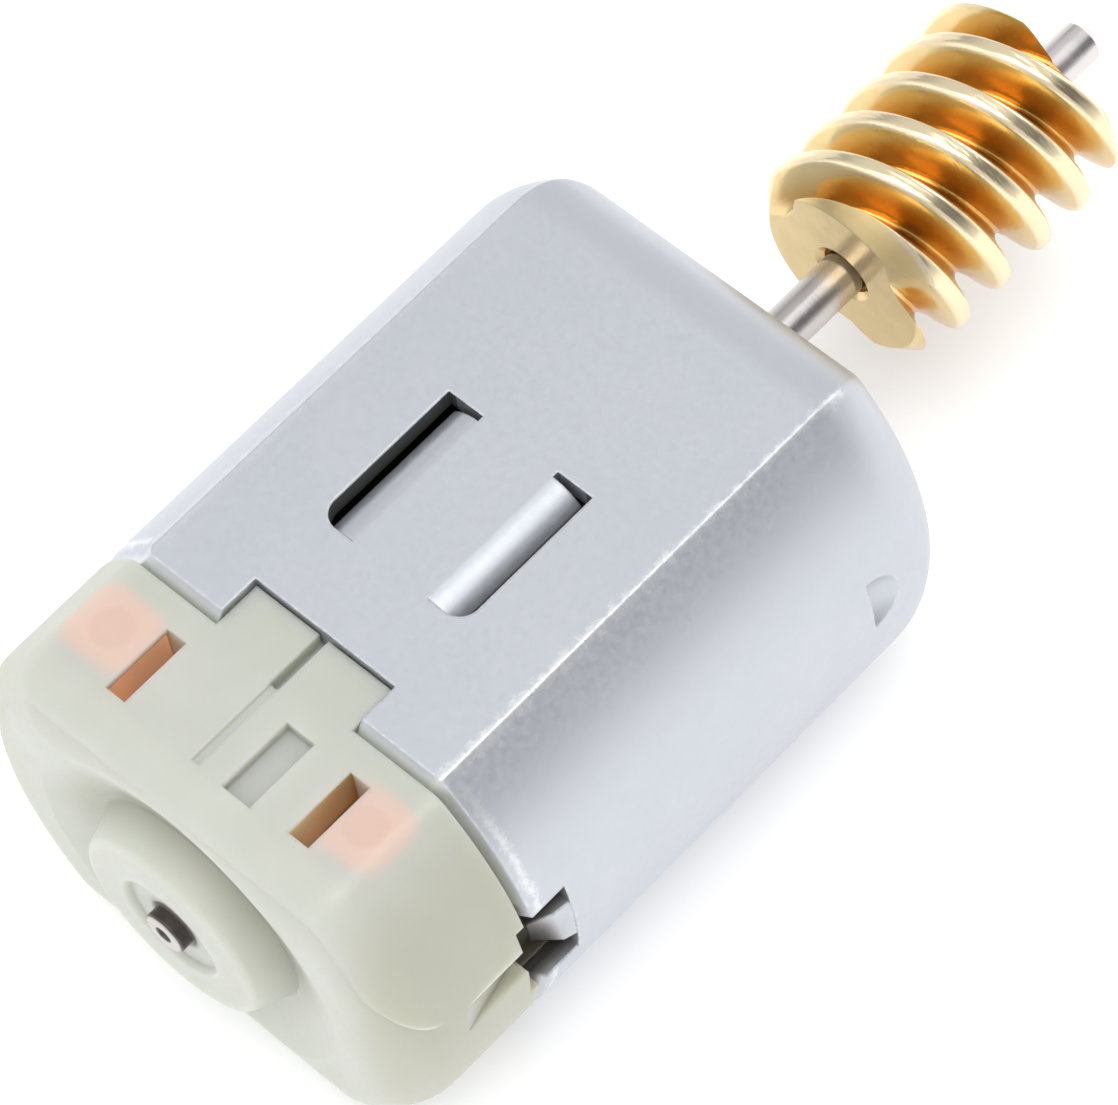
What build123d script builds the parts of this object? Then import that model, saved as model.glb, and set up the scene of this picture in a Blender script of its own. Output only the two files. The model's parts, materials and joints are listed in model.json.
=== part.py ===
from build123d import *
from math import atan, cos, degrees, pi, radians, sin, tan
import os

# Small flat-sided brushed motor with a three-start brass worm on its shaft.
# Millimetres. The X axis is the shaft, +X towards the worm. +Z leaves the flat of the can that
# has the two lanced tabs. The origin is where the shaft axis meets the can's front face.

# ---- can ----
can_r = 12.1            # round sides
can_half = 9.15         # half the distance across the flats
sheet = 1.0
can_back = -25.2        # free edge of the can
rim_bevel = 0.75        # length of the turned-in edge
rim_drop = 0.45
front_edge_r = 3.6      # drawn edge round the front face
boss_r = 3.0            # raised ring round the front bearing
boss_wall = 0.7
boss_front = 1.5
notch_half = 3.75       # notch for the end bell's key
notch_front = -22.9

# ---- shaft ----
shaft_r = 1.0
shaft_back = -33.75
shaft_front = 21.45
seat_r = 1.18           # larger seat the worm is pressed on; the worm slides over the tip freely
seat_back = 6.7
seat_front = 18.05
bearing_bore_r = 1.02
bearing_r = 2.3

# ---- end bell ----
plug_r = 11.05          # the part inside the can
plug_half = 8.1
plug_front = -21.0
cavity_r = 9.6
cavity_half = 6.7
floor_front = -28.4
bell_r = 12.08          # the part behind the can
bell_half = 8.85
bell_corner = 2.8       # rounding of the rear edge
bell_crease = 1.0       # rounding where the flats meet the round sides
bell_back = -32.35      # rearmost line of the lower half
block_back = -32.0      # rear face of the terminal block
block_corner = 1.6
hub_r = 4.5             # at the hub's rear face
hub_base_r = 5.2
hub_back = -33.4
slot_front = -26.6
slot_back = -30.0
slot_width = 1.05
slot_middle = {1: 4.47, -1: -5.4}   # the two slots aren't mirrored about the middle

# ---- rotor ----
rotor_r = 7.4
stack_front = -7.2
sheets = 21
sheet_pitch = 0.5
sheet_gap = 0.02
stack_back = stack_front - sheets * sheet_pitch
insulator = 0.6
arm_width = 2.2
tip_inner_r = 6.75
tip_half_angle = 50
core_r = 2.7
coil_overhang = 2.1
coil_inner = 3.0        # first and last layer of wire, distance from the shaft axis
coil_outer = 5.75
coil_half_width = 3.35

# ---- commutator ----
comm_front = -20.6
comm_r = 2.6
comm_core_r = 2.1
comm_back = -26.3
base_back = -27.4
brush_x = -24.1
brush_length = 2.4      # along the shaft
brush_height = 2.2
brush_gap = 0.03

# ---- terminals and brush arms ----
leaf = 0.25
blade = 0.4
blade_top = 8.45
leaf_outer = 5.45       # outer face of both brush leaves, distance from the middle
pivot_z = 5.6
arm_free_end = -2.7

# ---- magnets ----
magnet_front = -5.6
magnet_back = -20.4
magnet_outer_r = 11.08
magnet_inner_r = 7.8
magnet_half_angle = 42

# ---- worm ----
worm_back = 6.1
worm_front = 18.0
worm_r = 5.0
worm_root_r = 3.25
worm_rear_bevel = 1.0
worm_front_bevel = 0.45
starts = 3
axial_pitch = 0.8 * pi
lead = starts * axial_pitch
worm_phase = 92         # degrees from +Y to a crest on the rear face


def flat_round(x, radius, half, corner=0):
    """Circle with its top and bottom cut off, on the plane at x; its four corners can be rounded."""
    with BuildSketch(Plane.YZ.offset(x)) as outline:
        Circle(radius)
        Rectangle(2 * radius, 2 * half, mode=Mode.INTERSECT)
        if corner > 0:
            fillet(outline.vertices(), radius=corner)
    return outline.sketch


def sleeve(front, back, outer, inner):
    """Plain ring round the shaft axis between two positions."""
    with BuildPart() as ring:
        with BuildSketch(Plane.YZ.offset(back)):
            Circle(outer)
            Circle(inner, mode=Mode.SUBTRACT)
        extrude(amount=front - back)
    return ring


def block(x_low, x_high, y_low, y_high, z_low, z_high, mode=Mode.ADD):
    """Box from its limits on each axis, added to the part being built."""
    centre = ((x_low + x_high) / 2, (y_low + y_high) / 2, (z_low + z_high) / 2)
    with Locations(centre):
        Box(x_high - x_low, y_high - y_low, z_high - z_low, mode=mode)


def arc_section(x, inner, outer, centre_angle, half_angle):
    """Ring sector on the plane at x; angles in degrees from +Y towards +Z."""
    low = centre_angle - half_angle
    high = centre_angle + half_angle
    with BuildSketch(Plane.YZ.offset(x)) as sector:
        with BuildLine():
            outer_arc = CenterArc((0, 0), outer, low, high - low)
            inner_arc = CenterArc((0, 0), inner, low, high - low)
            Line(outer_arc @ 0, inner_arc @ 0)
            Line(outer_arc @ 1, inner_arc @ 1)
        make_face()
    return sector.sketch


# ---------------------------------------------------------------- can
tab_front = -11.9       # windows of the two lanced tabs
tab_back = -19.3
tab_root = 2.0          # where each tab starts to curve down
tab_edge = 3.45         # cut edge of each tab
tab_drop = 0.8
window_edge = 3.85
window_round = 0.9
tongue_low = -0.87      # crimp tongue on each round side
tongue_high = 1.6
tongue_root = -22.95    # front end of the opening the tongue is bent out of
opening_low = -2.0
opening_high = 2.75
stop_x = -5.5           # half-sheared stop for the magnet on each round side
stop_z = 1.35
stop_ball_r = 2.1
stop_depth = 0.75


def tab_window(side, gap, front_gap):
    """Plan shape of a tab's window, drawn smaller by the gap given."""
    back = tab_back + gap
    edge = window_edge - gap
    with BuildSketch(Plane.XY.offset(can_half - 2.5 * sheet)) as plan:
        with BuildLine():
            Polyline(
                (back, side * tab_root),
                (tab_front - front_gap, side * tab_root),
                (tab_front - front_gap, side * edge),
                (back + window_round, side * edge),
            )
            RadiusArc(
                (back + window_round, side * edge),
                (back, side * (edge - window_round)),
                -side * window_round,
            )
            Line((back, side * (edge - window_round)), (back, side * tab_root))
        make_face()
    return plan.sketch


def curved_tab(side):
    """Tab that leaves the flat smoothly and curves down into the can."""
    run = tab_edge - tab_root
    sweep = 2 * atan(tab_drop / run)
    outer = run / sin(sweep)
    with BuildPart() as tab:
        with BuildSketch(Plane.YZ.offset(tab_back)):
            with Locations((side * tab_root, can_half - outer)):
                Circle(outer)
                Circle(outer - sheet, mode=Mode.SUBTRACT)
            with BuildLine():
                Polyline(
                    (side * tab_root, can_half - outer),
                    (side * tab_root, can_half + 1),
                    (side * (tab_root + 3 * tan(sweep / 2)), can_half + 1),
                    (side * (tab_root + 2 * outer * sin(sweep)), can_half - outer + 2 * outer * cos(sweep)),
                    close=True,
                )
            make_face(mode=Mode.INTERSECT)
        extrude(amount=tab_front - tab_back)
        extrude(tab_window(side, 0.03, 0.3), amount=4 * sheet, mode=Mode.INTERSECT)
    return tab


def crimp_tongue(side):
    """Tongue bent inward into the end bell; its lower edge is driven in further than its upper."""
    lower = [
        (-22.8, 12.02), (-23.5, 11.8), (-23.9, 11.35), (-24.4, 10.8),
        (-23.9, 10.35), (-23.35, 10.9), (-22.8, 11.15),
    ]
    upper = [
        (-22.8, 11.95), (-23.8, 11.82), (-24.2, 11.6), (-24.8, 11.3),
        (-24.5, 10.6), (-23.6, 10.9), (-22.8, 11.1),
    ]
    with BuildPart() as tongue:
        for height, outline in ((tongue_low, lower), (tongue_high, upper)):
            with BuildSketch(Plane.XY.offset(height)):
                with BuildLine():
                    Polyline(*[(x, side * y) for x, y in outline], close=True)
                make_face()
        loft(ruled=True)
    return tongue


def half_ball(side, inward):
    """Half of a ball that dips into the round side, with its flat end towards the magnet."""
    middle = side * (can_r - stop_depth + stop_ball_r - inward)
    with BuildPart() as ball:
        with Locations((stop_x, middle, stop_z)):
            Sphere(stop_ball_r)
        block(stop_x, stop_x + 4, -20, 20, -10, 10, Mode.INTERSECT)
    return ball


with BuildPart() as housing_can:
    extrude(flat_round(can_back, can_r, can_half), amount=-can_back)
    front_edges = housing_can.faces().sort_by(Axis.X)[-1].edges()
    fillet(front_edges, radius=front_edge_r)
    rim_edges = housing_can.faces().sort_by(Axis.X)[0].edges()
    chamfer(rim_edges, length=rim_bevel, length2=rim_drop)
    # bearing ring raised from the front face
    with BuildSketch(Plane.YZ):
        Circle(boss_r)
    extrude(amount=boss_front)
    fillet(housing_can.faces().sort_by(Axis.X)[-1].edges(), radius=0.35)
    with BuildPart(mode=Mode.SUBTRACT) as inside:
        extrude(flat_round(can_back, can_r - sheet, can_half - sheet), amount=-can_back - sheet)
        inner_edges = inside.faces().sort_by(Axis.X)[-1].edges()
        fillet(inner_edges, radius=front_edge_r - sheet)
    with BuildSketch(Plane.YZ.offset(-sheet)):
        Circle(boss_r - boss_wall)
    extrude(amount=sheet + boss_front - 0.6, mode=Mode.SUBTRACT)
    with BuildSketch(Plane.YZ):
        Circle(1.5)
    extrude(amount=boss_front, mode=Mode.SUBTRACT)
    # notch in the top flat for the end bell's key
    block(can_back, notch_front, -notch_half, notch_half, can_half - 1.5 * sheet, can_half, Mode.SUBTRACT)
    for side in (-1, 1):
        # lanced tab in its window on the top flat
        extrude(tab_window(side, 0, 0), amount=4 * sheet, mode=Mode.SUBTRACT)
        add(curved_tab(side).part)
        # open-ended cut in the round side, and the tongue bent out of it
        y_limits = sorted((side * (can_r - 2.4), side * (can_r + 1)))
        block(can_back, tongue_root, *y_limits, opening_low, opening_high, Mode.SUBTRACT)
        add(crimp_tongue(side).part)
        # magnet stop: pushed in from outside, standing proud inside
        add(half_ball(side, 0).part, mode=Mode.SUBTRACT)
        with BuildPart(mode=Mode.PRIVATE) as bump:
            add(half_ball(side, sheet).part)
            with BuildSketch(Plane.YZ.offset(stop_x)):
                Circle(can_r - sheet + 0.1)
            extrude(amount=4, mode=Mode.INTERSECT)
        add(bump.part)

# ---------------------------------------------------------------- bearings and shaft
front_bearing = sleeve(boss_front - 0.65, -1.9, boss_r - boss_wall, bearing_bore_r)
rear_bearing = sleeve(-28.2, -32.2, bearing_r, bearing_bore_r)

with BuildPart() as shaft:
    with BuildSketch(Plane.YZ.offset(shaft_back)):
        Circle(shaft_r)
    extrude(amount=shaft_front - shaft_back)
    with BuildSketch(Plane.YZ.offset(seat_back)):
        Circle(seat_r)
    extrude(amount=seat_front - seat_back)
    chamfer(shaft.faces().sort_by(Axis.X)[-1].edges(), length=0.3)
    chamfer(shaft.faces().sort_by(Axis.X)[0].edges(), length=0.12)
    # centre drilled in the rear end
    with BuildSketch(Plane.YZ.offset(shaft_back)):
        Circle(0.42)
    extrude(amount=0.4, taper=30, mode=Mode.SUBTRACT)

# ---------------------------------------------------------------- magnets


def magnet(centre_angle):
    with BuildPart() as arc:
        section = arc_section(magnet_back, magnet_inner_r, magnet_outer_r, centre_angle, magnet_half_angle)
        extrude(section, amount=magnet_front - magnet_back)
        chamfer(arc.edges().filter_by(GeomType.CIRCLE), length=0.3)
    return arc


magnet_left = magnet(0)
magnet_right = magnet(180)

# spring clip on the bottom flat that pushes the magnets apart
clip_thick = 0.4
arm_y = 6.35
arm_z = -6.35
arm_foot = arm_y - 1.15
clip_base = -(can_half - sheet) + 0.03
clip_front = magnet_front - 1.2
clip_back = magnet_back + 1.2
with BuildPart() as magnet_spring:
    with BuildSketch(Plane.YZ.offset(clip_back)):
        with BuildLine():
            Polyline(
                (-arm_y, arm_z),
                (-arm_foot, clip_base),
                (arm_foot, clip_base),
                (arm_y, arm_z),
                (arm_y - clip_thick, arm_z),
                (arm_foot - clip_thick, clip_base + clip_thick),
                (-arm_foot + clip_thick, clip_base + clip_thick),
                (-arm_y + clip_thick, arm_z),
                close=True,
            )
        make_face()
    extrude(amount=clip_front - clip_back)
    # window that lightens the base of the clip
    block(clip_back + 3, clip_front - 3, -2.6, 2.6, clip_base - 1, clip_base + 1, Mode.SUBTRACT)

# ---------------------------------------------------------------- rotor
pole_angles = (90, 210, 330)


def rotor_section(x, radius, tip_inner, hub):
    """Three-armed pole shape with a bore for the shaft."""
    with BuildSketch(Plane.YZ.offset(x)) as section:
        Circle(hub)
        for angle in pole_angles:
            with Locations(Rotation(0, 0, angle)):
                with Locations((radius / 2, 0)):
                    Rectangle(radius - 0.6, arm_width)
        Circle(shaft_r, mode=Mode.SUBTRACT)
    tips = [
        arc_section(x, tip_inner, radius, angle, tip_half_angle) for angle in pole_angles
    ]
    return section.sketch, tips


def rotor_layer(part_front, thickness, radius, tip_inner, hub):
    """One layer of the rotor core."""
    with BuildPart() as layer:
        section, tips = rotor_section(part_front - thickness, radius, tip_inner, hub)
        extrude(section, amount=thickness)
        for tip in tips:
            extrude(tip, amount=thickness)
    return layer


one_sheet = rotor_layer(stack_front, sheet_pitch - sheet_gap, rotor_r, tip_inner_r, core_r)
with BuildPart() as lamination_stack:
    for index in range(sheets):
        with Locations((-index * sheet_pitch, 0, 0)):
            add(one_sheet.part)

insulator_front = rotor_layer(stack_front + insulator, insulator - 0.01, rotor_r - 0.35, tip_inner_r, core_r)
insulator_rear = rotor_layer(stack_back, insulator - 0.01, rotor_r - 0.35, tip_inner_r, core_r)

stack_middle = (stack_front + stack_back) / 2
core_half = (stack_front - stack_back) / 2 + insulator


def coil(angle):
    """Wire wound round one pole arm, between the shaft and the pole tip."""
    with BuildPart() as winding:
        with BuildSketch(Plane.XY.offset(coil_inner)):
            with Locations((stack_middle, 0)):
                RectangleRounded(2 * (core_half + coil_overhang), 2 * coil_half_width, 1.9)
        extrude(amount=coil_outer - coil_inner)
        fillet(winding.faces().sort_by(Axis.Z)[-1].edges(), radius=0.7)
        fillet(winding.faces().sort_by(Axis.Z)[0].edges(), radius=0.5)
        with BuildSketch(Plane.XY.offset(coil_inner)):
            with Locations((stack_middle, 0)):
                Rectangle(2 * core_half + 0.04, arm_width + 0.04)
        extrude(amount=coil_outer - coil_inner, mode=Mode.SUBTRACT)
    with BuildPart() as placed:
        with Locations(Rotation(angle - 90, 0, 0)):
            add(winding.part)
    return placed


coil_1 = coil(pole_angles[0])
coil_2 = coil(pole_angles[1])
coil_3 = coil(pole_angles[2])

spacer_sleeve = sleeve(-2.45, stack_front + insulator, 1.9, shaft_r)
thrust_washer_front = sleeve(-1.95, -2.4, 2.2, shaft_r)

# ---------------------------------------------------------------- commutator
flange = 0.5
riser = 0.4
with BuildPart() as commutator_base:
    with BuildSketch(Plane.YZ.offset(base_back)):
        Circle(comm_core_r)
    extrude(amount=comm_front - base_back)
    with BuildSketch(Plane.YZ.offset(comm_front - flange)):
        Circle(3.3)
    extrude(amount=flange)
    with BuildSketch(Plane.YZ.offset(base_back)):
        Circle(shaft_r)
    extrude(amount=comm_front - base_back, mode=Mode.SUBTRACT)
    chamfer(commutator_base.faces().sort_by(Axis.X)[0].edges().sort_by(Edge.length)[-1:], length=0.3)

segment_front = comm_front - flange - 0.02
with BuildPart() as commutator_segments:
    for angle in pole_angles:
        with BuildPart():
            bar = arc_section(comm_back, comm_core_r + 0.01, comm_r, angle + 60, 57)
            extrude(bar, amount=segment_front - comm_back)
            foot = arc_section(segment_front - riser, comm_core_r + 0.01, 4.1, angle + 60, 16)
            extrude(foot, amount=riser)

commutator_ring = sleeve(segment_front - riser - 0.05, segment_front - riser - 0.6, 3.15, comm_r + 0.01)
thrust_washer_rear = sleeve(base_back - 0.05, -28.15, 1.9, shaft_r)

# ---------------------------------------------------------------- end bell
pocket_low = -1.9       # side pockets that take the bent crimp tongues
pocket_high = 2.7
pocket_front = -22.7
pocket_back = -25.7
pocket_floor = 10.2
ramp_back = -29.5
dish_floor = -31.6      # dished relief round the hub
dish_inner_r = 5.5
dish_outer_r = 8.0      # at the rearmost face
block_low = 1.5         # lower edge of the raised terminal block
pocket_top = 8.5        # underside of the thin skin over each terminal
pocket_out = {1: 8.05, -1: -8.15}


def slot_limits(side):
    """Limits of a terminal slot across the motor."""
    return slot_middle[side] - slot_width / 2, slot_middle[side] + slot_width / 2


with BuildPart() as end_bell:
    # body behind the can
    extrude(flat_round(bell_back, bell_r, bell_half, bell_crease), amount=can_back - 0.05 - bell_back)
    fillet(end_bell.faces().sort_by(Axis.X)[0].edges(), radius=bell_corner)
    # terminal block across the upper half, with rounded lower corners
    with BuildPart() as upper:
        extrude(flat_round(block_back, bell_r, bell_half, bell_crease), amount=can_back - 0.05 - block_back)
        fillet(upper.faces().sort_by(Axis.X)[0].edges(), radius=block_corner)
        with BuildSketch(Plane.XZ.offset(-15)):
            with BuildLine():
                Polyline((can_back + 1, 12), (can_back + 1, block_low), (-28.3, block_low))
                RadiusArc((-28.3, block_low), (-32.2, 5.4), 3.9)
                Polyline((-32.2, 5.4), (-33, 5.4), (-33, 12), (can_back + 1, 12))
            make_face()
        extrude(amount=30, mode=Mode.INTERSECT)
    # dished relief round the hub
    dish_slope = (dish_outer_r - dish_inner_r) / (dish_floor - bell_back)
    with BuildSketch(Plane.XZ):
        with BuildLine():
            Polyline(
                (dish_floor, 0),
                (dish_floor, dish_inner_r),
                (bell_back - 1, dish_outer_r + dish_slope),
                (bell_back - 1, 0),
                close=True,
            )
        make_face()
    revolve(axis=Axis.X, mode=Mode.SUBTRACT)
    # plug inside the can
    extrude(flat_round(can_back - 0.05, plug_r, plug_half), amount=plug_front - can_back + 0.05)
    # key that fills the notch in the can
    key_half = notch_half - 0.1
    block(can_back - 0.05, notch_front - 0.12, -key_half, key_half, plug_half - 0.5, bell_half)
    # tapered hub round the rear bearing
    with BuildSketch(Plane.YZ.offset(hub_back)):
        Circle(hub_r)
    hub_taper = degrees(atan((hub_base_r - hub_r) / (dish_floor - hub_back)))
    extrude(amount=dish_floor - hub_back + 0.5, taper=-hub_taper)
    fillet(end_bell.faces().sort_by(Axis.X)[0].edges(), radius=0.4)
    # cavity for the brush gear
    cavity = flat_round(floor_front, cavity_r, cavity_half)
    extrude(cavity, amount=plug_front - floor_front, mode=Mode.SUBTRACT)
    # bore for the rear bearing, hole for the shaft end and countersink round it
    with BuildSketch(Plane.YZ.offset(-32.2)):
        Circle(bearing_r)
    extrude(amount=floor_front + 32.2 + 1, mode=Mode.SUBTRACT)
    with BuildSketch(Plane.YZ.offset(hub_back)):
        Circle(1.2)
    extrude(amount=1.5, mode=Mode.SUBTRACT)
    with BuildSketch(Plane.YZ.offset(hub_back)):
        Circle(2.55)
    extrude(amount=0.3, taper=35, mode=Mode.SUBTRACT)
    for side in (-1, 1):
        y_limits = sorted((side * pocket_floor, side * (bell_r + 1)))
        block(pocket_back, pocket_front, *y_limits, pocket_low, pocket_high, Mode.SUBTRACT)
        # ramp that runs out of the pocket under the terminal block
        with BuildSketch(Plane.XY):
            with BuildLine():
                Polyline(
                    (pocket_back + 0.1, side * (bell_r + 1)),
                    (pocket_back + 0.1, side * 11.2),
                    (ramp_back, side * (bell_r + 0.1)),
                    (ramp_back, side * (bell_r + 1)),
                    close=True,
                )
            make_face()
        extrude(amount=block_low, mode=Mode.SUBTRACT)
        # terminal pocket under a thin skin, and the slot that opens it to the top
        slot_low, slot_high = slot_limits(side)
        pocket_limits = (slot_low, pocket_out[side]) if side > 0 else (pocket_out[side], slot_high)
        block(slot_back, slot_front, *pocket_limits, 3.4, pocket_top, Mode.SUBTRACT)
        block(slot_back, slot_front, slot_low, slot_high, pocket_top - 0.1, 10, Mode.SUBTRACT)
    # moulded centre groove and shallow recess on the top
    block(-25.8, notch_front, -0.25, 0.25, bell_half - 0.7, 10, Mode.SUBTRACT)
    block(-30.1, -25.8, -0.2, 0.2, bell_half - 0.12, 10, Mode.SUBTRACT)
    block(-30.2, -26.6, -3.0, -1.5, bell_half - 0.5, 10, Mode.SUBTRACT)

# ---------------------------------------------------------------- terminals and brushes


def terminal(side):
    """Bent strip: a flange under the top skin, a blade beside the slot, and a foot to the brush arm."""
    slot_edge = max(slot_limits(side), key=abs)
    blade_near = slot_edge + side * 0.02
    blade_far = blade_near + side * blade
    foot_near = side * (leaf_outer + 0.02)
    foot_far = foot_near + side * blade
    flange_end = pocket_out[side] - side * 0.05
    jog = sorted((blade_near, blade_far, foot_near, foot_far))
    foot_front = brush_x + brush_length / 2
    with BuildPart() as strip:
        block(slot_back + 0.1, slot_front - 0.1, *sorted((blade_near, blade_far)), 3.6, blade_top)
        block(
            slot_back + 0.7, slot_front - 0.1,
            *sorted((blade_near, flange_end)), blade_top - blade, blade_top,
        )
        block(slot_front - 0.4, slot_front, jog[0], jog[-1], pivot_z + 0.03, 6.6)
        block(slot_front - 0.4, foot_front, *sorted((foot_near, foot_far)), pivot_z + 0.03, 6.6)
    return strip


def brush_arm(side):
    """Flat leaf that hangs from the terminal's foot and carries a brush."""
    inner = side * (leaf_outer - leaf)
    outer = side * leaf_outer
    with BuildPart() as arm:
        block(
            brush_x - brush_length / 2, brush_x + brush_length / 2,
            *sorted((inner, outer)), arm_free_end, pivot_z,
        )
    return arm


def brush(side):
    """Carbon block with a face hollowed to the commutator."""
    root = side * (leaf_outer - leaf - 0.02)
    with BuildPart() as carbon:
        block(
            brush_x - brush_length / 2, brush_x + brush_length / 2,
            *sorted((side * 1.5, root)), -brush_height / 2, brush_height / 2,
        )
        with BuildSketch(Plane.YZ.offset(brush_x - brush_length)):
            Circle(comm_r + brush_gap)
        extrude(amount=2 * brush_length, mode=Mode.SUBTRACT)
    return carbon


terminal_left = terminal(1)
terminal_right = terminal(-1)
brush_arm_left = brush_arm(1)
brush_arm_right = brush_arm(-1)
brush_left = brush(1)
brush_right = brush(-1)

# ---------------------------------------------------------------- worm


def thread_radius(offset):
    """Radius of the thread at an axial distance from the middle of a crest."""
    across = abs(offset) / (axial_pitch / 2)
    rise = 0.5 + 0.5 * cos(pi * min(1, max(0, (across - 0.17) / 0.83)))
    return worm_root_r + (worm_r - worm_root_r) * rise


steps_per_thread = 14
worm_length = worm_front - worm_back
with BuildSketch(Plane.YZ.offset(worm_back)) as thread_section:
    with BuildLine():
        for thread in range(starts):
            lobe = []
            for step in range(steps_per_thread + 1):
                across = step / steps_per_thread - 0.5
                angle = radians(worm_phase) + 2 * pi * (thread + across) / starts
                radius = thread_radius(across * axial_pitch)
                lobe.append((radius * cos(angle), radius * sin(angle)))
            first = radians(worm_phase) + 2 * pi * (thread - 0.5) / starts
            last = first + 2 * pi / starts
            Spline(*lobe, tangents=[(-sin(first), cos(first)), (-sin(last), cos(last))])
    make_face()

# the section turns once per lead along the shaft
twisted_bar = Solid.extrude_linear_with_rotation(
    thread_section.sketch.faces()[0],
    center=(worm_back, 0, 0),
    normal=(worm_length, 0, 0),
    angle=360 * worm_length / lead,
)
with BuildPart() as worm:
    add(twisted_bar)
    # both ends are turned to a bevel
    with BuildSketch(Plane.XZ):
        with BuildLine():
            Polyline(
                (worm_back, 0),
                (worm_back, worm_r - worm_rear_bevel),
                (worm_back + 1.2 * worm_rear_bevel, worm_r + 0.2 * worm_rear_bevel),
                (worm_front - 1.2 * worm_front_bevel, worm_r + 0.2 * worm_front_bevel),
                (worm_front, worm_r - worm_front_bevel),
                (worm_front, 0),
                close=True,
            )
        make_face()
    revolve(axis=Axis.X, mode=Mode.INTERSECT)
    with BuildSketch(Plane.YZ.offset(worm_back)):
        Circle(seat_r)
    extrude(amount=worm_length, mode=Mode.SUBTRACT)
    # countersink where the shaft enters
    with BuildSketch(Plane.YZ.offset(worm_back)):
        Circle(1.45)
    extrude(amount=0.3, taper=45, mode=Mode.SUBTRACT)

# ---------------------------------------------------------------- export
pieces = {
    "housing_can": housing_can,
    "front_bearing": front_bearing,
    "rear_bearing": rear_bearing,
    "magnet_left": magnet_left,
    "magnet_right": magnet_right,
    "magnet_spring": magnet_spring,
    "shaft": shaft,
    "lamination_stack": lamination_stack,
    "insulator_front": insulator_front,
    "insulator_rear": insulator_rear,
    "coil_1": coil_1,
    "coil_2": coil_2,
    "coil_3": coil_3,
    "spacer_sleeve": spacer_sleeve,
    "thrust_washer_front": thrust_washer_front,
    "thrust_washer_rear": thrust_washer_rear,
    "commutator_base": commutator_base,
    "commutator_segments": commutator_segments,
    "commutator_ring": commutator_ring,
    "end_bell": end_bell,
    "terminal_left": terminal_left,
    "terminal_right": terminal_right,
    "brush_arm_left": brush_arm_left,
    "brush_arm_right": brush_arm_right,
    "brush_left": brush_left,
    "brush_right": brush_right,
    "worm": worm,
}
os.makedirs("parts", exist_ok=True)
for label, piece in pieces.items():
    piece.part.label = label
    export_step(piece.part, f"parts/{label}.step")
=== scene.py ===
import json
from math import cos, radians, sin

import bpy
from mathutils import Matrix, Vector


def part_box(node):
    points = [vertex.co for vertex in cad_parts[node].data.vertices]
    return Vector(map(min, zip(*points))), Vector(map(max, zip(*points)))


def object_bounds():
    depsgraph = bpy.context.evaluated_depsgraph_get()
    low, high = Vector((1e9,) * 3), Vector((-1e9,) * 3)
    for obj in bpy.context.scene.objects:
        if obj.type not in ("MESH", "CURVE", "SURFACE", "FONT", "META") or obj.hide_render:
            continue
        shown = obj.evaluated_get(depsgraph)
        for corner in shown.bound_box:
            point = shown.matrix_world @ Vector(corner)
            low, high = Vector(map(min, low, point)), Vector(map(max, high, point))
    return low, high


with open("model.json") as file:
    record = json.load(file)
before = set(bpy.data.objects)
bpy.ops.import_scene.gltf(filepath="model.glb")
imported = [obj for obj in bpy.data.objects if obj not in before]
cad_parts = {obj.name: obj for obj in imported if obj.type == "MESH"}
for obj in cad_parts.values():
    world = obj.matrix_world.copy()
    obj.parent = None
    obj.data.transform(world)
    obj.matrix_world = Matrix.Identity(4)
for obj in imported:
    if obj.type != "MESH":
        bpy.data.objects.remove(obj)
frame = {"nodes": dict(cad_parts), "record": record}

# Looks of a small flat-sided motor. Lengths are in metres and `mm` turns millimetres into metres.
# The CAD nodes keep their shape; this script gives them materials, light, a floor and a camera.

mm = 0.001
nodes = frame["nodes"]
cad_low, cad_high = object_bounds()
can_low, can_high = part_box("housing_can")
bell_low, bell_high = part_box("end_bell")
can_back = can_low.x
can_radius = can_high.y
flat_z = can_high.z
crease_y = (can_radius ** 2 - flat_z ** 2) ** 0.5     # where the flats meet the round sides
bell_top = bell_high.z
hub_back = bell_low.x

# Limits of the stained areas and of the painted shade, mostly a little beyond the features that they cover.
windows_back = -19.5 * mm           # the two tab windows
windows_front = -11.5 * mm
windows_inner_y = 3.48 * mm         # just outside the cut edges of the tabs
windows_outer_y = 3.95 * mm
cut_front = -22.75 * mm             # the cut that each crimp tongue is bent out of
cut_top = 3.4 * mm
pocket_back = -25.85 * mm           # the end bell's pocket for the tongue
pocket_low = -2.2 * mm
pocket_high = 3.0 * mm
recess_low = (-30.3 * mm, -3.1 * mm, 8 * mm)
recess_high = (-26.5 * mm, -1.4 * mm, 8.6 * mm)
groove_low = (-26.0 * mm, -0.35 * mm, 7 * mm)
groove_high = (-22 * mm, 0.35 * mm, 8.75 * mm)
slot_back = -30.0 * mm              # ends of the two terminal slots
slot_front = -26.6 * mm
slot_width = 1.05 * mm
thread_start = 6.2 * mm             # just in front of the worm's rear face
worm_radius = 5.0 * mm
tip_start = 17.9 * mm               # just before the shaft leaves the worm


def slot_wall(mount_name):
    """Thin layer round the wall of a terminal slot that is nearer the motor's middle."""
    mount = next(item for item in frame["record"]["mounts"] if item["name"] == mount_name)
    middle = mount["pos_m"][1]
    outward = 1 if middle > 0 else -1
    wall = middle - outward * slot_width / 2
    return wall - 0.1 * mm, wall + 0.1 * mm


slot_walls = [slot_wall("terminal_slot_left"), slot_wall("terminal_slot_right")]


# ---------------------------------------------------------------- node helpers


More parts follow.
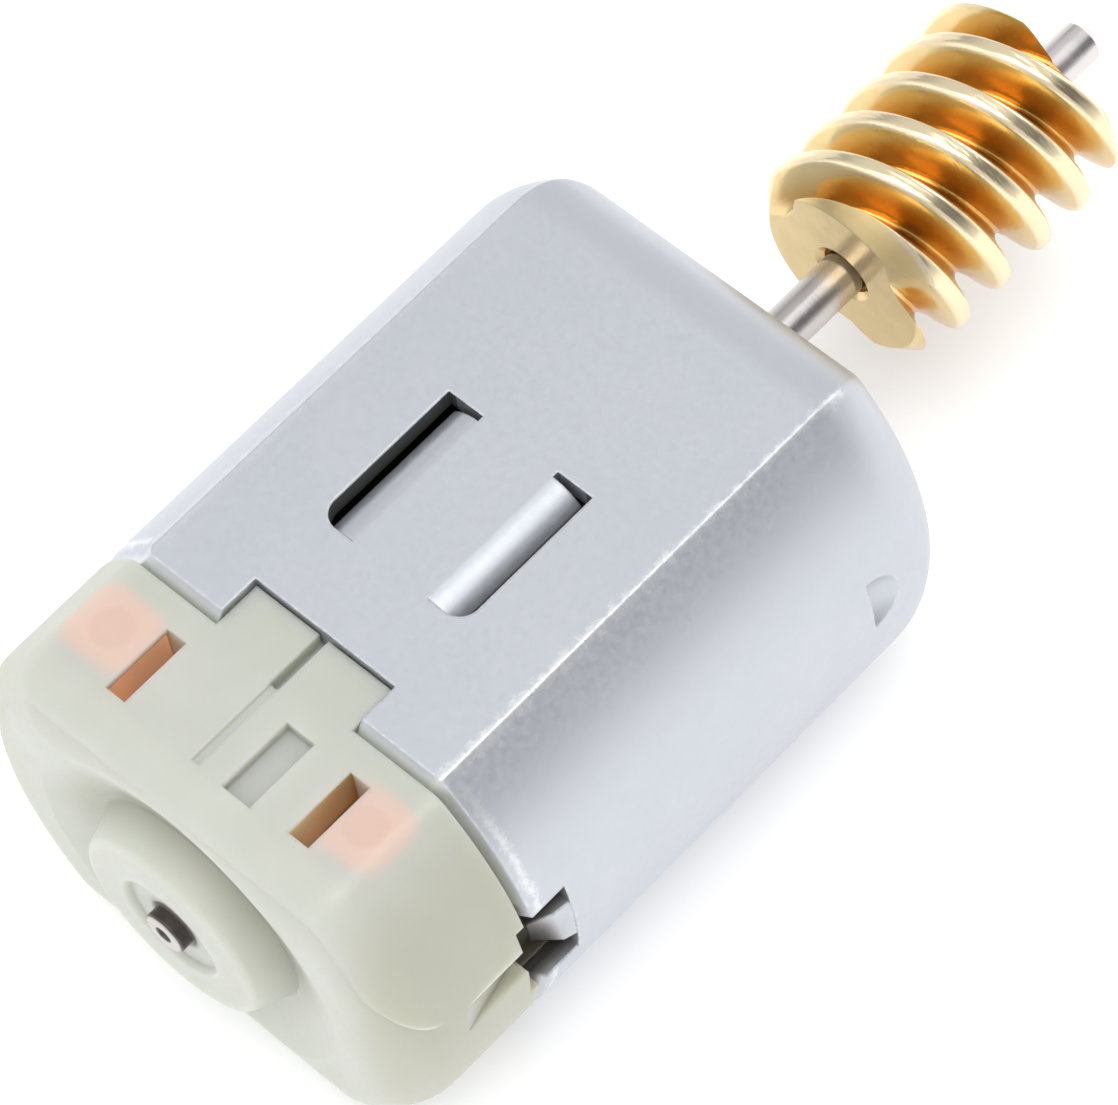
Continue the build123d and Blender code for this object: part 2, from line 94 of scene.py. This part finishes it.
class Shader:
    """A material with its Principled shader and short calls for the nodes that feed it."""

    def __init__(self, name):
        self.material = bpy.data.materials.new(name)
        self.material.use_nodes = True
        self.tree = self.material.node_tree
        self.shader = self.tree.nodes["Principled BSDF"]
        self.place = self.node("ShaderNodeTexCoord").outputs["Object"]

    def node(self, kind, **settings):
        made = self.tree.nodes.new(kind)
        for name, value in settings.items():
            setattr(made, name, value)
        return made

    def feed(self, socket, value):
        if isinstance(value, bpy.types.NodeSocket):
            self.tree.links.new(value, socket)
        else:
            socket.default_value = value

    def set(self, **inputs):
        for name, value in inputs.items():
            self.feed(self.shader.inputs[name.replace("_", " ")], value)

    def math(self, operation, a, b=0.0):
        made = self.node("ShaderNodeMath", operation=operation)
        self.feed(made.inputs[0], a)
        self.feed(made.inputs[1], b)
        return made.outputs[0]

    def ramp(self, value, low, high, start=0.0, end=1.0):
        """start at low and before it, end at high and beyond it, smooth between."""
        made = self.node("ShaderNodeMapRange", interpolation_type="SMOOTHSTEP")
        for name, setting in (("Value", value), ("From Min", low), ("From Max", high)):
            self.feed(made.inputs[name], setting)
        self.feed(made.inputs["To Min"], start)
        self.feed(made.inputs["To Max"], end)
        return made.outputs[0]

    def mix(self, amount, a, b):
        made = self.node("ShaderNodeMix", data_type="RGBA")
        self.feed(made.inputs["Factor"], amount)
        self.feed(made.inputs["A"], a)
        self.feed(made.inputs["B"], b)
        return made.outputs["Result"]

    def stretched(self, scale):
        """Object coordinates multiplied by scale per axis."""
        made = self.node("ShaderNodeVectorMath", operation="MULTIPLY")
        self.feed(made.inputs[0], self.place)
        made.inputs[1].default_value = scale
        return made.outputs[0]

    def noise(self, size_mm, detail=3.0, roughness=0.55, scale=(1, 1, 1)):
        """Noise whose features are about size_mm across. A scale below 1 stretches them along that axis."""
        made = self.node("ShaderNodeTexNoise")
        self.feed(made.inputs["Vector"], self.stretched(scale))
        made.inputs["Scale"].default_value = 1 / (size_mm * mm)
        made.inputs["Detail"].default_value = detail
        made.inputs["Roughness"].default_value = roughness
        return made.outputs["Fac"]

    def axis(self, index):
        made = self.node("ShaderNodeSeparateXYZ")
        self.feed(made.inputs[0], self.place)
        return made.outputs[index]

    def radius(self):
        """Distance from the shaft axis."""
        y = self.axis(1)
        z = self.axis(2)
        return self.math("SQRT", self.math("ADD", self.math("MULTIPLY", y, y), self.math("MULTIPLY", z, z)))

    def edge(self, reach_mm):
        """1 on sharp edges, fading over reach_mm, 0 on flat areas."""
        sharp = 0.85
        flat = 0.995
        bevel = self.node("ShaderNodeBevel", samples=6)
        bevel.inputs["Radius"].default_value = reach_mm * mm
        geometry = self.node("ShaderNodeNewGeometry")
        dot = self.node("ShaderNodeVectorMath", operation="DOT_PRODUCT")
        self.feed(dot.inputs[0], bevel.outputs[0])
        self.feed(dot.inputs[1], geometry.outputs["Normal"])
        return self.ramp(dot.outputs["Value"], sharp, flat, 1.0, 0.0)

    def bump(self, height, strength, distance_mm, rounded_mm):
        """Fine relief from height, on edges that look rounded by rounded_mm."""
        made = self.node("ShaderNodeBump")
        made.inputs["Strength"].default_value = strength
        made.inputs["Distance"].default_value = distance_mm * mm
        self.feed(made.inputs["Height"], height)
        bevel = self.node("ShaderNodeBevel", samples=6)
        bevel.inputs["Radius"].default_value = rounded_mm * mm
        self.feed(made.inputs["Normal"], bevel.outputs[0])
        self.feed(self.shader.inputs["Normal"], made.outputs[0])

    def inside(self, low, high, soft_mm):
        """1 inside the box from low to high, fading to 0 over soft_mm outside it."""
        bands = []
        for index in range(3):
            at = self.axis(index)
            bands.append(self.ramp(at, low[index] - soft_mm * mm, low[index]))
            bands.append(self.ramp(at, high[index], high[index] + soft_mm * mm, 1.0, 0.0))
        return self.both(*bands)

    def patch(self, centre, half, corner_mm, soft_mm):
        """1 inside a rounded rectangle seen from above, fading to 0 over soft_mm outside it."""
        sides = []
        for index in range(2):
            offset = self.math("ABSOLUTE", self.math("SUBTRACT", self.axis(index), centre[index]))
            beyond = self.math("SUBTRACT", offset, half[index] - corner_mm * mm)
            sides.append(self.math("MAXIMUM", beyond, 0.0))
        squares = [self.math("MULTIPLY", side, side) for side in sides]
        reach = self.math("SQRT", self.math("ADD", *squares))
        return self.ramp(reach, corner_mm * mm, (corner_mm + soft_mm) * mm, 1.0, 0.0)

    def either(self, a, b):
        """Where one mask or the other is."""
        return self.math("MAXIMUM", a, b)

    def both(self, *masks):
        """Where all the masks are; a number among them weakens the result."""
        total = masks[0]
        for mask in masks[1:]:
            total = self.math("MULTIPLY", total, mask)
        return total


def paint(shader, *names):
    """Puts a material on CAD nodes."""
    for name in names:
        mesh_object = nodes[name]
        for index in range(max(1, len(mesh_object.material_slots))):
            if index < len(mesh_object.material_slots):
                mesh_object.material_slots[index].material = shader.material
            else:
                mesh_object.data.materials.append(shader.material)


# ---------------------------------------------------------------- materials


def zinc_steel():
    """Bright zinc plating on drawn steel: cool grey, faintly mottled, bright where edges are scuffed, with
    painted highlights on the crease and the rim and painted shade in the cuts.
    """
    s = Shader("zinc_plated_can")
    cloud = s.noise(4.0, 4.0)
    fine = s.noise(0.35, 5.0, 0.65)
    drawn = s.noise(0.5, 3.0, 0.6, (0.12, 1, 1))
    broken = s.ramp(s.noise(0.28, 5.0, 0.75), 0.42, 0.62)
    wear_and_highlight = s.both(s.edge(0.22), broken, 0.7)
    # the crease between flat and round side is painted bright in a ragged band, part scuff and part painted
    # highlight, wider towards the rear and strongest on the -Y side
    across = s.math("ABSOLUTE", s.math("SUBTRACT", s.math("ABSOLUTE", s.axis(1)), crease_y))
    ragged = s.math("MULTIPLY", s.noise(0.45, 6.0, 0.8), 1.5 * mm)
    wider = s.ramp(s.axis(0), can_back, -3 * mm, 0.78 * mm, 0.62 * mm)
    beyond = s.math("SUBTRACT", s.math("ADD", across, ragged), wider)
    near = s.ramp(beyond, -0.05 * mm, 0.4 * mm, 1.0, 0.0)
    upper = s.ramp(s.axis(2), flat_z - 0.8 * mm, flat_z - 0.3 * mm)
    one_side = s.ramp(s.axis(1), -1 * mm, 1 * mm, 1.0, 0.25)
    wear_and_highlight = s.either(wear_and_highlight, s.both(near, upper, one_side))
    # scuffs and a painted highlight along the edge of the turned-in rim, on the round sides
    from_rim = s.math("ABSOLUTE", s.math("SUBTRACT", s.axis(0), can_back + 0.9 * mm))
    rim = s.ramp(s.math("ADD", from_rim, ragged), 0.65 * mm, 1.1 * mm, 1.0, 0.0)
    off_flat = s.ramp(s.axis(2), flat_z - 0.5 * mm, flat_z - 0.2 * mm, 1.0, 0.0)
    wear_and_highlight = s.either(wear_and_highlight, s.both(rim, off_flat, 0.7))
    # painted shade: the cut faces of the windows and of the cut the tongue is bent from are painted nearly
    # black
    aside = s.math("ABSOLUTE", s.axis(1))
    painted_cut_shade = s.both(
        s.ramp(s.axis(2), flat_z - 2 * mm, flat_z - 1.6 * mm),
        s.ramp(s.axis(2), flat_z - 0.10 * mm, flat_z - 0.03 * mm, 1.0, 0.0),
        s.ramp(aside, windows_inner_y - 0.02 * mm, windows_inner_y + 0.02 * mm),
        s.ramp(aside, windows_outer_y, windows_outer_y + 0.25 * mm, 1.0, 0.0),
        s.ramp(s.axis(0), windows_back - 0.1 * mm, windows_back + 0.1 * mm),
        s.ramp(s.axis(0), windows_front - 0.1 * mm, windows_front + 0.1 * mm, 1.0, 0.0),
    )
    low_side = s.ramp(s.axis(2), cut_top - 0.2 * mm, cut_top + 0.2 * mm, 1.0, 0.0)
    deep = s.ramp(s.radius(), can_radius - 0.75 * mm, can_radius - 0.3 * mm, 1.0, 0.0)
    rearward = s.ramp(s.axis(0), cut_front + 0.15 * mm, cut_front - 0.15 * mm)
    painted_cut_shade = s.either(painted_cut_shade, s.both(deep, low_side, rearward))
    base = s.mix(cloud, (0.55, 0.57, 0.61, 1), (0.60, 0.62, 0.655, 1))
    # edges painted bright: partly wear, partly painted highlight
    base = s.mix(wear_and_highlight, base, (0.86, 0.87, 0.87, 1))
    # painted highlight: the rear edge of the can is painted bright
    rear_edge_highlight = s.ramp(s.axis(0), can_back + 0.15 * mm, can_back + 0.5 * mm, 0.6, 0.0)
    base = s.mix(rear_edge_highlight, base, (0.88, 0.89, 0.89, 1))
    # the bent-in part of the tongue is made darker and browner
    bent_in = s.ramp(s.radius(), can_radius - 0.5 * mm, can_radius - 0.12 * mm, 1.0, 0.0)
    dull = s.both(bent_in, low_side, rearward)
    base = s.mix(s.math("MULTIPLY", dull, 0.75), base, (0.30, 0.27, 0.25, 1))
    # painted shade on the cut faces
    base = s.mix(s.math("MULTIPLY", painted_cut_shade, 0.92), base, (0.055, 0.055, 0.048, 1))
    s.set(
        Base_Color=base,
        Metallic=s.math("SUBTRACT", 0.8, s.math("MULTIPLY", painted_cut_shade, 0.5)),
        Roughness=s.math("ADD", s.ramp(fine, 0.3, 0.7, 0.38, 0.46), s.math("MULTIPLY", wear_and_highlight, -0.12)),
    )
    relief = s.math("ADD", s.math("MULTIPLY", fine, 0.5), s.math("MULTIPLY", drawn, 0.5))
    relief = s.math("ADD", relief, s.math("MULTIPLY", wear_and_highlight, 0.7))
    s.bump(relief, 0.24, 0.02, 0.16)
    return s


def milky_nylon():
    """Natural nylon, milky and slightly green in its depth, with the copper showing through thin skins."""
    s = Shader("natural_nylon")
    cloud = s.noise(3.0, 3.0)
    fine = s.noise(0.25, 4.0, 0.6)
    base = s.mix(cloud, (0.525, 0.535, 0.475, 1), (0.59, 0.60, 0.545, 1))
    top = s.ramp(s.axis(2), bell_top - 0.65 * mm, bell_top - 0.25 * mm)
    # painted shade: the moulding is painted darker against the can, on its round sides and inside the tongue
    # pockets
    shade_against_can = s.ramp(s.axis(0), -27.2 * mm, -24.6 * mm, 0.0, 0.5)
    base = s.mix(shade_against_can, base, (0.50, 0.52, 0.44, 1))
    round_side_shade = s.ramp(s.math("ABSOLUTE", s.axis(1)), 8.4 * mm, 10.8 * mm, 0.0, 0.6)
    base = s.mix(round_side_shade, base, (0.45, 0.44, 0.34, 1))
    deep = s.both(
        s.ramp(s.radius(), 11.2 * mm, 11.9 * mm, 1.0, 0.0),
        s.ramp(s.axis(2), pocket_high - 0.25 * mm, pocket_high, 1.0, 0.0),
        s.ramp(s.axis(2), pocket_low, pocket_low + 0.25 * mm),
        s.ramp(s.axis(0), pocket_back, pocket_back + 0.15 * mm),
    )
    # painted shade, nearly black-brown, inside the tongue pockets
    base = s.mix(s.math("MULTIPLY", deep, 0.85), base, (0.09, 0.075, 0.045, 1))
    # shadow that gathers in the relief round the hub
    radius = s.radius()
    valley = s.both(
        s.ramp(radius, 4.2 * mm, 5.0 * mm),
        s.ramp(radius, 5.8 * mm, 7.6 * mm, 1.0, 0.0),
        s.ramp(s.axis(0), hub_back + 0.1 * mm, hub_back + 2.1 * mm),
        s.ramp(s.axis(2), -3.5 * mm, 1.5 * mm),
        s.ramp(s.axis(2), bell_top - 1.45 * mm, bell_top - 0.65 * mm, 1.0, 0.0),
    )
    base = s.mix(s.math("MULTIPLY", valley, 0.6), base, (0.36, 0.36, 0.26, 1))
    # painted shade in the shallow recess
    recess_shade = s.inside(recess_low, recess_high, 0.1)
    base = s.mix(s.math("MULTIPLY", recess_shade, 0.6), base, (0.46, 0.46, 0.43, 1))
    # faint painted shade in the groove
    groove_shade = s.inside(groove_low, groove_high, 0.08)
    base = s.mix(s.math("MULTIPLY", groove_shade, 0.15), base, (0.30, 0.30, 0.26, 1))
    # copper glows through the thin skin beside each slot, darker where the strip has its hole
    for name in ("terminal_left", "terminal_right"):
        low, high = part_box(name)
        outward = 1 if high.y > 0 else -1
        glow_back = low.x + 0.7 * mm
        glow_front = slot_front - 0.1 * mm
        centre = ((glow_back + glow_front) / 2, (low.y + high.y) / 2 + 0.15 * mm * outward)
        half = ((glow_front - glow_back) / 2, (high.y - low.y) / 2 - 0.1 * mm)
        glow = s.both(s.patch(centre, half, 0.6, 0.75), top)
        base = s.mix(s.math("MULTIPLY", glow, 0.62), base, (0.78, 0.52, 0.41, 1))
        hole = s.patch(centre, (0.75 * mm, 0.75 * mm), 0.7, 0.3)
        base = s.mix(s.both(hole, top, 0.3), base, (0.60, 0.42, 0.34, 1))
    # the wall of each slot is stained by the copper behind it
    for wall_low, wall_high in slot_walls:
        stain_low = (slot_back - 0.3 * mm, wall_low, 3 * mm)
        stain_high = (slot_front + 0.3 * mm, wall_high, bell_top - 0.13 * mm)
        stain = s.inside(stain_low, stain_high, 0.08)
        forward = s.ramp(s.axis(0), slot_back, slot_front)
        tint = s.mix(forward, (0.70, 0.58, 0.36, 1), (0.42, 0.27, 0.09, 1))
        base = s.mix(s.math("MULTIPLY", stain, 0.8), base, tint)
    s.set(
        Base_Color=base,
        Roughness=s.ramp(fine, 0.3, 0.7, 0.36, 0.44),
        Subsurface_Weight=0.85,
        Subsurface_Radius=(1.0, 0.95, 0.72),
        Subsurface_Scale=1.6 * mm,
        IOR=1.5,
    )
    s.bump(s.math("ADD", s.math("MULTIPLY", fine, 0.4), cloud), 0.1, 0.04, 0.22)
    return s


def machined_brass():
    """Polished brass: a painted highlight makes the crests pale and painted shade makes it deep orange down
    in the thread.
    """
    s = Shader("machined_brass")
    radius = s.radius()
    cloud = s.noise(1.2, 3.0)
    lines = s.noise(0.12, 2.0, 0.5, (1.0, 0.25, 0.25))
    # painted shade: deep orange down in the thread
    depth = s.both(
        s.ramp(radius, worm_radius - 1.7 * mm, worm_radius - 0.25 * mm, 1.0, 0.0),
        s.ramp(s.axis(0), thread_start, thread_start + 0.4 * mm),
    )
    base = s.mix(depth, (0.80, 0.62, 0.32, 1), (0.63, 0.33, 0.08, 1))
    base = s.mix(s.math("MULTIPLY", cloud, 0.2), base, (0.62, 0.44, 0.17, 1))
    # painted highlight: pale crests
    crest = s.ramp(radius, worm_radius - 0.25 * mm, worm_radius - 0.08 * mm)
    base = s.mix(s.math("MULTIPLY", crest, 0.8), base, (0.93, 0.80, 0.56, 1))
    s.set(
        Base_Color=base,
        Metallic=1.0,
        Roughness=s.ramp(cloud, 0.3, 0.7, 0.16, 0.26),
    )
    s.bump(lines, 0.12, 0.01, 0.05)
    return s


def ground_steel():
    """Ground shaft: brighter at its tip, with a painted dark reflection on the side of its rear end and a
    dark spot in the middle of that end.
    """
    s = Shader("ground_steel")
    rings = s.noise(0.06, 2.0, 0.5, (1.0, 0.1, 0.1))
    stain = s.noise(1.5, 3.0)
    colour = s.mix(stain, (0.46, 0.43, 0.42, 1), (0.60, 0.56, 0.54, 1))
    tip = s.ramp(s.axis(0), tip_start - 0.3 * mm, tip_start + 0.3 * mm)
    colour = s.mix(s.math("MULTIPLY", tip, 0.8), colour, (0.76, 0.72, 0.70, 1))
    # painted reflection: the side of the rear end is painted dark; the middle of that end is dark as well
    rear_end = s.ramp(s.axis(0), hub_back + 0.4 * mm, hub_back + 0.2 * mm)
    side = s.ramp(s.radius(), 0.90 * mm, 0.95 * mm)
    middle = s.ramp(s.radius(), 0.38 * mm, 0.45 * mm, 1.0, 0.0)
    dark = s.both(rear_end, s.either(side, middle), 0.9)
    colour = s.mix(dark, colour, (0.05, 0.04, 0.038, 1))
    s.set(
        Base_Color=colour,
        Metallic=1.0,
        Roughness=s.ramp(stain, 0.3, 0.7, 0.2, 0.3),
    )
    s.bump(rings, 0.15, 0.01, 0.06)
    return s


def metal(name, dark, light, roughness, grain_mm=0.2, stretch=(1, 1, 1), metallic=1.0, strength=0.15):
    """Plain worked metal: two tones, grain and a slight painted shine on its edges."""
    s = Shader(name)
    grain = s.noise(grain_mm, 4.0, 0.6, stretch)
    cloud = s.noise(grain_mm * 8, 3.0)
    # painted highlight on the edges
    bright = s.math("MULTIPLY", s.edge(0.1), 0.6)
    colour = s.mix(cloud, (*dark, 1), (*light, 1))
    tip = tuple(min(1.0, value * 1.25) for value in light)
    s.set(
        Base_Color=s.mix(bright, colour, (*tip, 1)),
        Metallic=metallic,
        Roughness=s.ramp(grain, 0.3, 0.7, roughness - 0.05, roughness + 0.08),
    )
    s.bump(grain, strength, 0.02, 0.05)
    return s


def plain_solid(name, dark, light, roughness, grain_mm=0.2, strength=0.2):
    """Moulded or sintered solid that isn't metal."""
    s = Shader(name)
    grain = s.noise(grain_mm, 4.0, 0.65)
    cloud = s.noise(grain_mm * 10, 3.0)
    s.set(
        Base_Color=s.mix(cloud, (*dark, 1), (*light, 1)),
        Roughness=s.ramp(grain, 0.3, 0.7, roughness - 0.06, roughness + 0.08),
    )
    s.bump(grain, strength, 0.02, 0.06)
    return s


def wound_wire():
    """Enamelled wire laid side by side: fine ridges across the coil."""
    s = Shader("enamelled_wire")
    shade = s.noise(0.8, 3.0)
    ridges = s.noise(0.18, 1.0, 0.4)
    s.set(
        Base_Color=s.mix(shade, (0.42, 0.12, 0.04, 1), (0.72, 0.27, 0.09, 1)),
        Metallic=0.7,
        Roughness=s.ramp(ridges, 0.3, 0.7, 0.2, 0.35),
        Coat_Weight=0.5,
    )
    s.bump(ridges, 0.5, 0.06, 0.1)
    return s


paint(zinc_steel(), "housing_can")
paint(milky_nylon(), "end_bell")
paint(machined_brass(), "worm")
paint(ground_steel(), "shaft")
copper = metal("rolled_copper_with_painted_glow", (0.86, 0.44, 0.26), (0.95, 0.60, 0.40), 0.35, metallic=0.6)
# painted glow: the copper terminals emit light so that they shine through the nylon
copper.set(Emission_Color=(0.85, 0.42, 0.22, 1), Emission_Strength=0.32)
paint(copper, "terminal_left", "terminal_right")
paint(metal("spring_bronze", (0.62, 0.36, 0.20), (0.80, 0.52, 0.32), 0.3), "brush_arm_left",
      "brush_arm_right")
paint(metal("turned_copper", (0.70, 0.36, 0.22), (0.85, 0.50, 0.33), 0.25, 0.08, (1, 0.1, 0.1)),
      "commutator_segments")
paint(metal("sintered_bronze", (0.36, 0.25, 0.13), (0.52, 0.38, 0.22), 0.55, 0.12, (1, 1, 1), 0.8, 0.4),
      "front_bearing", "rear_bearing")
paint(metal("stamped_core", (0.30, 0.31, 0.33), (0.46, 0.47, 0.50), 0.42, 0.15), "lamination_stack")
paint(metal("spring_strip", (0.50, 0.51, 0.53), (0.66, 0.67, 0.69), 0.3, 0.2, (0.1, 1, 1)), "magnet_spring")
paint(plain_solid("fired_ferrite", (0.035, 0.035, 0.04), (0.075, 0.075, 0.08), 0.6, 0.15, 0.35),
      "magnet_left", "magnet_right")
paint(plain_solid("pressed_carbon", (0.03, 0.03, 0.032), (0.06, 0.06, 0.065), 0.5, 0.08, 0.3),
      "brush_left", "brush_right")
paint(plain_solid("slot_insulator", (0.05, 0.19, 0.12), (0.08, 0.26, 0.17), 0.45), "insulator_front",
      "insulator_rear", "spacer_sleeve")
paint(plain_solid("washer_nylon", (0.70, 0.67, 0.58), (0.80, 0.78, 0.70), 0.4), "thrust_washer_front",
      "thrust_washer_rear")
paint(plain_solid("phenolic", (0.07, 0.035, 0.02), (0.13, 0.07, 0.045), 0.4), "commutator_base",
      "commutator_ring")
paint(wound_wire(), "coil_1", "coil_2", "coil_3")


# ---------------------------------------------------------------- floor and light


def direction(azimuth, elevation):
    """Unit vector towards a compass direction: azimuth 0 is the -Y side, 90 the +X side."""
    a = radians(azimuth)
    e = radians(elevation)
    return Vector((sin(a) * cos(e), -cos(a) * cos(e), sin(e)))


def floor():
    """Pale sheet under the motor that curves up far behind it."""
    half = 1.6
    steps = 24
    bend_start = 0.6
    bend_radius = 0.5
    ground = cad_low.z - 0.02 * mm
    rows = [(-half, 0.0), (bend_start, 0.0)]
    for step in range(1, steps + 1):
        turn = radians(90) * step / steps
        rows.append((bend_start + bend_radius * sin(turn), bend_radius - bend_radius * cos(turn)))
    vertices = []
    for along, up in rows:
        vertices.append((-half, along, ground + up))
        vertices.append((half, along, ground + up))
    faces = [(2 * i, 2 * i + 1, 2 * i + 3, 2 * i + 2) for i in range(len(rows) - 1)]
    mesh = bpy.data.meshes.new("floor")
    mesh.from_pydata(vertices, [], faces)
    made = bpy.data.objects.new("floor", mesh)
    bpy.context.scene.collection.objects.link(made)
    s = Shader("pale_floor")
    grain = s.noise(30.0, 2.0)
    pale = s.mix(grain, (0.93, 0.93, 0.93, 1), (0.95, 0.95, 0.95, 1))
    s.set(Base_Color=pale, Roughness=0.7, Emission_Color=pale, Emission_Strength=0.22)
    mesh.materials.append(s.material)


def area_light(name, azimuth, elevation, distance, size, power, colour=(1, 1, 1)):
    """Soft light aimed at the motor."""
    light = bpy.data.lights.new(name, "AREA")
    light.shape = "RECTANGLE"
    light.size = size[0]
    light.size_y = size[1]
    light.energy = power
    light.color = colour
    made = bpy.data.objects.new(name, light)
    away = direction(azimuth, elevation)
    made.location = target + away * distance
    made.rotation_mode = "QUATERNION"
    made.rotation_quaternion = (-away).to_track_quat("-Z", "Y")
    bpy.context.scene.collection.objects.link(made)


def studio_world(base, patches):
    """Even surround with soft brighter and darker regions: (azimuth, elevation, width in degrees, change)."""
    world = bpy.data.worlds.new("studio")
    world.use_nodes = True
    tree = world.node_tree
    background = tree.nodes["Background"]
    coordinates = tree.nodes.new("ShaderNodeTexCoord").outputs["Generated"]
    total = None
    for azimuth, elevation, width, change in patches:
        dot = tree.nodes.new("ShaderNodeVectorMath")
        dot.operation = "DOT_PRODUCT"
        tree.links.new(coordinates, dot.inputs[0])
        dot.inputs[1].default_value = direction(azimuth, elevation)
        fade = tree.nodes.new("ShaderNodeMapRange")
        fade.interpolation_type = "SMOOTHSTEP"
        tree.links.new(dot.outputs["Value"], fade.inputs["Value"])
        fade.inputs["From Min"].default_value = cos(radians(width))
        fade.inputs["From Max"].default_value = cos(radians(width * 0.3))
        fade.inputs["To Min"].default_value = base if total is None else 0.0
        fade.inputs["To Max"].default_value = base + change if total is None else change
        if total is None:
            total = fade.outputs[0]
        else:
            add = tree.nodes.new("ShaderNodeMath")
            tree.links.new(total, add.inputs[0])
            tree.links.new(fade.outputs[0], add.inputs[1])
            total = add.outputs[0]
    tree.links.new(total, background.inputs["Strength"])
    background.inputs["Color"].default_value = (0.97, 0.98, 1.0, 1)
    bpy.context.scene.world = world


target = Vector((-11.12 * mm, -0.12 * mm, 0.06 * mm))     # what the camera and the lights point at
floor()
area_light("key", -10, 78, 0.6, (0.5, 0.5), 1.6)
area_light("front", 80, 30, 0.7, (0.3, 0.3), 0.5, (1.0, 0.97, 0.93))
studio_world(0.80, ((22, 33, 30, -0.60), (-110, 40, 42, 0.50), (160, 15, 35, -0.3)))
bpy.context.scene.view_settings.view_transform = "Standard"

# ---------------------------------------------------------------- camera

view_azimuth = -37.902
view_elevation = 58.42
view_roll = -10.691
view_distance = 254.53 * mm
view_lens = 204.304

camera = bpy.data.objects.new("camera", bpy.data.cameras.new("camera"))
bpy.context.scene.collection.objects.link(camera)
camera.data.lens = view_lens
camera.data.sensor_width = 36
camera.data.clip_start = 0.01
camera.data.clip_end = 10
back = direction(view_azimuth, view_elevation)
camera.rotation_mode = "QUATERNION"
roll = Matrix.Rotation(radians(view_roll), 3, "Z").to_quaternion()
camera.rotation_quaternion = (-back).to_track_quat("-Z", "Y") @ roll
camera.location = target + back * view_distance
bpy.context.scene.camera = camera
